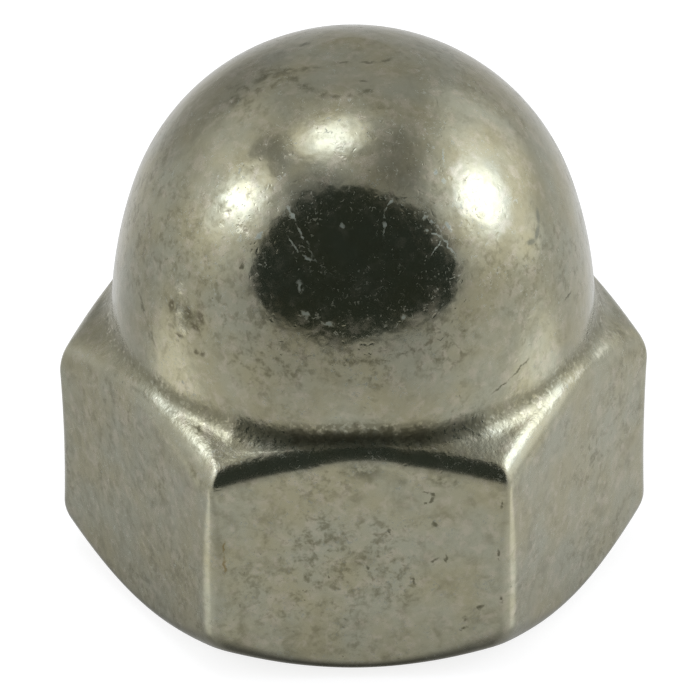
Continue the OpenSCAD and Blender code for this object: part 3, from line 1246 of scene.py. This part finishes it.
        parts = self.stained_parts.mask(add, place)
        more_on_hexagon = add("MapRange", {0: hexagon, 3: self.dome_clouds, 4: 1.0})
        stained = add("Math", {0: parts, 1: self.more_mottles, 2: self.plain_mottles},
                      operation="MULTIPLY_ADD", use_clamp=True)
        stained_most = self.cover(add, place, STAINED_PLACES, 0.3)
        stained = add("Math", {0: stained, 1: stained_most}, operation="MAXIMUM")
        gaps = self.gaps.mask(add, place)
        bumps = self.cover(add, shift, BUMPS, 0.2)
        pits = self.pits.mask(add, place)
        # Painted shade: dulls and darkens the whole fillet band
        dulled_and_shaded = add("MapRange", {0: grime_and_shade, 1: 0.0, 2: self.dulled_and_shaded_at})
        layers = (
            (self.clouds.mask(add, place), more_on_hexagon, self.cloud),
            (self.blooms.mask(add, place), 1.0, self.bloom),
            (self.mottles.mask(add, place), stained, self.mottle),
            (self.rubs(add, place), hexagon, self.rub),
            (self.cover(add, shift, STAIN_MARKS, 0.1), self.blotches.mask(add, place), self.stain),
            # Burnt-on spots, and a painted shadow under a bump
            (self.cover(add, shift, SPOT_AND_SHADOW_MARKS, 0.2), gaps, self.spot),
            # Wear and painted highlight along the edges
            (wear, 1.0, self.worn),
            # Painted highlight line along the right flat's upper edge
            (self.cover(add, shift, HIGHLIGHT_LINE_MARKS, 0.1), gaps, self.highlight_line),
            # Bumps painted pale: wear and a painted highlight
            (bumps, gaps, self.worn),
            (pits, parts, self.pit),
            (self.flecks.mask(add, place), self.flecked_parts.mask(add, place), self.fleck),
            # Painted shade in the fillet, as dulling and as grime
            (dulled_and_shaded, gaps, self.dulling_and_shade),
            (self.dirt_and_shade(add, place, grime_and_shade), 1.0, self.grime_and_shade),
            (self.cover(add, shift, LIGHT_SCRATCHES, 0.2), gaps, self.scratch),
            (self.cover(add, shift, DARK_MARKS, 0.2), gaps, self.smudge),
            # Painted shade of a fold
            (self.cover(add, place, FOLD_SHADE_MARKS, 0.3), 1.0, self.fold_shade),
            (self.cover(add, shift, RUST_MARKS, 0.1), 1.0, self.rust),
        )
        for mask, where, film in layers:
            share = add("Math", {0: mask, 1: where}, operation="MULTIPLY")
            share = add("Math", {0: share, 1: film.cover}, operation="MULTIPLY")
            colour = add("Mix", {0: share, 6: colour, 7: srgb(film.colour)}, data_type="RGBA").outputs[2]
            rough = add("Mix", {0: share, 2: rough, 3: film.roughness})

        forged = add("TexNoise", {"Vector": place, "Scale": per_mm(self.forging[0]), "Detail": 2.0})
        forged = add("Math", {0: forged, 1: shoulder}, operation="MULTIPLY")
        height = self.relief(add, place, (
            (forged, self.forging[1]),
            (self.dents.mask(add, place), self.dent_rise),
            (pits, self.pit_rise),
            (bumps, self.bump_rise),
            (self.cover(add, shift, DIMPLES, 0.0), self.dimple_rise),
        ))
        bump = add("Bump", {"Height": height, "Distance": MM, "Strength": 1.0})
        shader = add("BsdfPrincipled", {
            "Base Color": colour, "Metallic": 1.0, "Roughness": rough, "Normal": bump.outputs["Normal"]})
        add("OutputMaterial", {"Surface": shader.outputs["BSDF"]})
        return material


# ---------------------------------------------------------------- the studio


@dataclass
class View:
    """The camera, a telephoto view from the front and above: angles in degrees and lens in millimetres."""

    azimuth: float = -1.28
    elevation: float = 32.45
    roll: float = 0.28
    distance: float = 0.395
    lens: float = 654.0
    sensor: float = 36.0
    clip: tuple[float, float] = (0.01, 10.0)
    aim: Vector = field(default_factory=lambda: Vector((0, 0, 0.00711)))
    offset: tuple[float, float] = (-0.112 * MM, -0.100 * MM)

    def build(self) -> None:
        """Makes the camera and gives it to the scene."""
        back, right = direction(self.azimuth, self.elevation), direction(self.azimuth + 90, 0)
        up = back.cross(right)
        camera = bpy.data.objects.new("camera", bpy.data.cameras.new("camera"))
        bpy.context.collection.objects.link(camera)
        camera.data.lens = self.lens
        camera.data.sensor_width = self.sensor
        camera.data.clip_start, camera.data.clip_end = self.clip
        roll = Matrix.Rotation(-math.radians(self.roll), 3, "Z")
        turn = Matrix((right, up, back)).transposed() @ roll
        target = self.aim + right * self.offset[0] + up * self.offset[1]
        camera.matrix_world = Matrix.Translation(target + back * self.distance) @ turn.to_4x4()
        bpy.context.scene.camera = camera


@dataclass(frozen=True)
class Glow:
    """A soft bright or dark place on the tent's wall, which fades out round its middle.

    Azimuth is in degrees from the front towards +X and elevation in degrees above the horizon. The glow
    is full inside the inner angle and gone beyond the outer one.
    """

    azimuth: float
    elevation: float
    inner: float
    outer: float
    amount: float


@dataclass
class LightTent:
    """A white light tent: pale floor, softly glowing wall, three lamps and the dark mouth in its front."""

    radius: float = 0.9
    segments: int = 48
    lamp_distance: float = 0.7
    # The wall's level by height, from straight down (-1) to straight up (1)
    levels: tuple[tuple[float, float], ...] = (
        (-1.0, 0.12), (-0.95, 0.3), (-0.87, 0.48), (-0.72, 0.63), (-0.56, 0.78), (-0.4, 0.78), (-0.2, 0.66),
        (0.0, 0.57), (0.6, 0.57), (1.0, 0.6))
    glows: tuple[Glow, ...] = (
        Glow(-84, 41, 5, 15, 1.4), Glow(-77, 36, 4, 13, 1.1), Glow(-85, 26, 4, 13, 0.9),
        Glow(-84, 30, 8, 36, 0.4), Glow(-95, 54, 5, 15, -0.4),
        Glow(88, 29, 7, 20, 1.9), Glow(98, 2, 3, 14, 0.4), Glow(90, 26, 10, 36, 0.55),
        Glow(-100, 79, 5, 13, 1.1), Glow(-140, 82, 5, 14, 1.0), Glow(-105, 70, 4, 11, 0.6),
        Glow(-112, 79, 8, 32, 0.25), Glow(-125, 38, 5, 20, 0.22),
        Glow(70, 70, 5, 24, -0.25), Glow(-40, 64, 6, 20, -0.25), Glow(121, 28, 8, 28, 0.5),
        Glow(-150, 8, 8, 24, -0.2),
        Glow(100, -15, 15, 75, 0.24), Glow(-105, -10, 15, 70, 0.19),
        Glow(93, -32, 6, 20, 0.6), Glow(-93, -32, 6, 20, 0.6),
        Glow(0, -36, 6, 22, 0.12), Glow(92, 42, 8, 30, 0.25),
        Glow(-120, -36, 10, 34, -0.28), Glow(122, -34, 10, 30, -0.12),
    )
    # Each lamp's name, azimuth, elevation, half angle and radiance
    lamps: tuple[tuple[str, float, float, float, float], ...] = (
        ("lamp_left", -82, 35, 9, 1.0), ("lamp_right", 87, 30, 11, 1.2), ("lamp_top", -116, 81, 8, 0.9))
    mouth_distance: float = 0.33
    # Where the wall glows brightest its light turns a little cool, as a lamp's does beside daylight paper
    glow_colour: str = "#e8efff"
    glow_levels: tuple[float, float] = (1.5, 2.4)
    # The mouth's outline, across and above the nut, as shares of its distance
    mouth_outline: tuple[tuple[float, float], ...] = (
        (-1.29, 2.01), (-0.72, 2.55), (-0.035, 2.57), (0.74, 1.89), (1.30, 1.42), (1.30, 0.97), (1.49, 0.52),
        (1.13, 0.05), (0.68, -0.01), (0.11, -0.035), (-0.17, -0.055), (-0.48, -0.04), (-0.95, -0.02),
        (-1.46, 0.35), (-1.455, 0.85), (-1.455, 1.52), (-1.18, 1.53))
    mouth_colour: str = "#3c433f"
    floor_radius: float = 1.5
    floor_corners: int = 64
    floor_share: float = 0.81
    floor_colour: str = "#a0a0a0"
    # How much of the wall below shows through the floor in reflections, by distance from the axis in
    # millimetres: the nut shades the paper round its foot
    foot_shade: tuple[tuple[float, float], ...] = ((7.0, 0.45), (9.0, 0.78), (12.0, 0.95), (18.0, 1.0))
    plain_level: float = 0.8

    def lamp(self, name: str, azimuth: float, elevation: float, half_angle: float, radiance: float) -> None:
        """Adds a round soft lamp.

        Args:
            name: The lamp's name.
            azimuth: Where it stands, in degrees from the front towards +X.
            elevation: Degrees above the horizon.
            half_angle: Half the angle that the lamp spans, in degrees.
            radiance: How bright the lamp looks, where 1 is white.
        """
        toward = direction(azimuth, elevation)
        light = bpy.data.lights.new(name, "AREA")
        light.shape = "DISK"
        light.size = 2 * self.lamp_distance * math.tan(math.radians(half_angle))
        light.energy = radiance * math.pi * math.pi * (light.size / 2) ** 2
        lamp = bpy.data.objects.new(name, light)
        lamp.location = toward * self.lamp_distance
        lamp.rotation_mode = "QUATERNION"
        lamp.rotation_quaternion = toward.to_track_quat("Z", "Y")
        bpy.context.collection.objects.link(lamp)

    def wall(self) -> None:
        """Adds the glowing wall, a sphere that only reflections and the floor see."""
        select_only()
        bpy.ops.mesh.primitive_uv_sphere_add(segments=self.segments, ring_count=self.segments // 2,
                                             radius=self.radius, location=(0, 0, 0))
        wall = bpy.context.object
        wall.name = "tent_wall"
        bpy.ops.object.shade_smooth()
        wall.visible_camera = wall.visible_shadow = False
        material = bpy.data.materials.new("tent_wall")
        add = blank_tree(material)
        place = add("TexCoord").outputs["Object"]
        way = add("VectorMath", {0: place}, operation="NORMALIZE")
        rise = add("SeparateXYZ", {0: way}).outputs["Z"]
        share = add("MapRange", {0: rise, 1: -1.0, 2: 1.0})
        ramp = add("ValToRGB", {0: share})
        ramp.color_ramp.interpolation = "B_SPLINE"
        set_greys(ramp.color_ramp, tuple(((height + 1) / 2, level) for height, level in self.levels))
        total = ramp
        for glow in self.glows:
            middle = direction(glow.azimuth, glow.elevation)
            near = add("VectorMath", {0: way, 1: middle}, operation="DOT_PRODUCT")
            outer, inner = (math.cos(math.radians(angle)) for angle in (glow.outer, glow.inner))
            amount = add("MapRange", {0: near.outputs["Value"], 1: outer, 2: inner, 3: 0.0, 4: glow.amount},
                         interpolation_type="SMOOTHSTEP")
            total = add("Math", {0: total, 1: amount}, operation="ADD")
        bright = add("MapRange", {0: total, 1: self.glow_levels[0], 2: self.glow_levels[1]})
        colour = add("Mix", {0: bright, 6: srgb("#ffffff"), 7: srgb(self.glow_colour)}, data_type="RGBA")
        light = add("Emission", {"Color": colour.outputs[2], "Strength": total})
        add("OutputMaterial", {"Surface": light})
        wall.data.materials.append(material)

    def mouth(self) -> None:
        """Adds the tent's dark mouth in front of the nut, which only reflections see."""
        mesh = bmesh.new()
        corners = [mesh.verts.new(Vector((x, -1, z)) * self.mouth_distance) for x, z in self.mouth_outline]
        mesh.faces.new(corners)
        data = bpy.data.meshes.new("tent_mouth")
        mesh.to_mesh(data)
        mesh.free()
        mouth = bpy.data.objects.new("tent_mouth", data)
        bpy.context.collection.objects.link(mouth)
        mouth.visible_camera = mouth.visible_shadow = mouth.visible_diffuse = False
        material = bpy.data.materials.new("tent_mouth")
        add = blank_tree(material)
        glow = add("Emission", {"Color": srgb(self.mouth_colour), "Strength": 1.0})
        add("OutputMaterial", {"Surface": glow})
        data.materials.append(material)

    def floor(self) -> None:
        """Adds the pale floor: solid from above, clear from below and in reflections."""
        select_only()
        bpy.ops.mesh.primitive_circle_add(vertices=self.floor_corners, radius=self.floor_radius,
                                          fill_type="NGON", location=(0, 0, CAD_BOX[0].z))
        floor = bpy.context.object
        floor.name = "floor"
        material = bpy.data.materials.new("white_floor")
        add = blank_tree(material)
        path = add("LightPath")
        own = add("Math", {0: path.outputs["Is Camera Ray"], 1: self.floor_share}, operation="MULTIPLY")
        matt = add("BsdfDiffuse", {"Color": srgb(self.floor_colour)})
        white = add("Emission", {"Color": srgb("#ffffff"), "Strength": own})
        paper = add("AddShader", {0: matt, 1: white})
        reach = self.foot_shade[-1][0] * MM
        place = add("TexCoord").outputs["Object"]
        away = add("VectorMath", {0: place}, operation="LENGTH").outputs["Value"]
        away = add("MapRange", {0: away, 1: 0.0, 2: reach})
        shade = add("ValToRGB", {0: away})
        set_greys(shade.color_ramp, tuple((radius * MM / reach, share) for radius, share in self.foot_shade))
        clear = add("BsdfTransparent", {"Color": shade})
        below = add("NewGeometry")
        skip = add("Math", {0: path.outputs["Is Glossy Ray"], 1: below.outputs["Backfacing"]},
                   operation="MAXIMUM")
        mix = add("MixShader", {0: skip, 1: paper, 2: clear})
        add("OutputMaterial", {"Surface": mix})
        floor.data.materials.append(material)

    def world(self) -> None:
        """Sets a surround: white to camera, reflected and transmitted rays, and plain to the rest."""
        bpy.context.scene.world = bpy.data.worlds.new("studio")
        add = blank_tree(bpy.context.scene.world)
        path = add("LightPath")
        seen = add("Math", {0: path.outputs["Is Camera Ray"], 1: path.outputs["Is Glossy Ray"]},
                   operation="ADD")
        seen = add("Math", {0: seen, 1: path.outputs["Is Transmission Ray"]},
                   operation="ADD", use_clamp=True)
        plain = add("Background", {"Color": srgb("#ffffff"), "Strength": self.plain_level})
        white = add("Background", {"Color": srgb("#ffffff"), "Strength": 1.0})
        mix = add("MixShader", {0: seen, 1: plain, 2: white})
        add("OutputWorld", {"Surface": mix})

    def build(self) -> None:
        """Builds the tent, its lamps and its surround."""
        self.world()
        self.floor()
        self.wall()
        self.mouth()
        for lamp in self.lamps:
            self.lamp(*lamp)


def main() -> None:
    """Builds the nut, its finish and the studio, and reports each piece."""
    logging.basicConfig(level=logging.INFO, format="%(name)s: %(message)s")
    low, high = CAD_BOX
    thread_mount = next(m for m in frame["record"]["mounts"] if m["name"] == "thread")
    flat_r = (high.y - low.y) / 2 / MM
    section = Section(flat_r=flat_r, total_height=(high.z - low.z) / MM)
    nut = CapNut(
        section=section,
        hexagon=Hexagon(flat_r=flat_r),
        thread=Thread(minor_r=thread_mount["dims"]["r_mm"]),
        dents=Dents(),
    )
    body = nut.build()
    body.data.materials.append(TumbledSteel(section=section).build())
    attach(body, "root")
    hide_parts("cap_nut")
    log.info("%s: %d vertices, %d faces", body.name, len(body.data.vertices), len(body.data.polygons))

    View().build()
    LightTent().build()
    bpy.context.scene.view_settings.view_transform = "Standard"


if __name__ == "__main__":
    main()
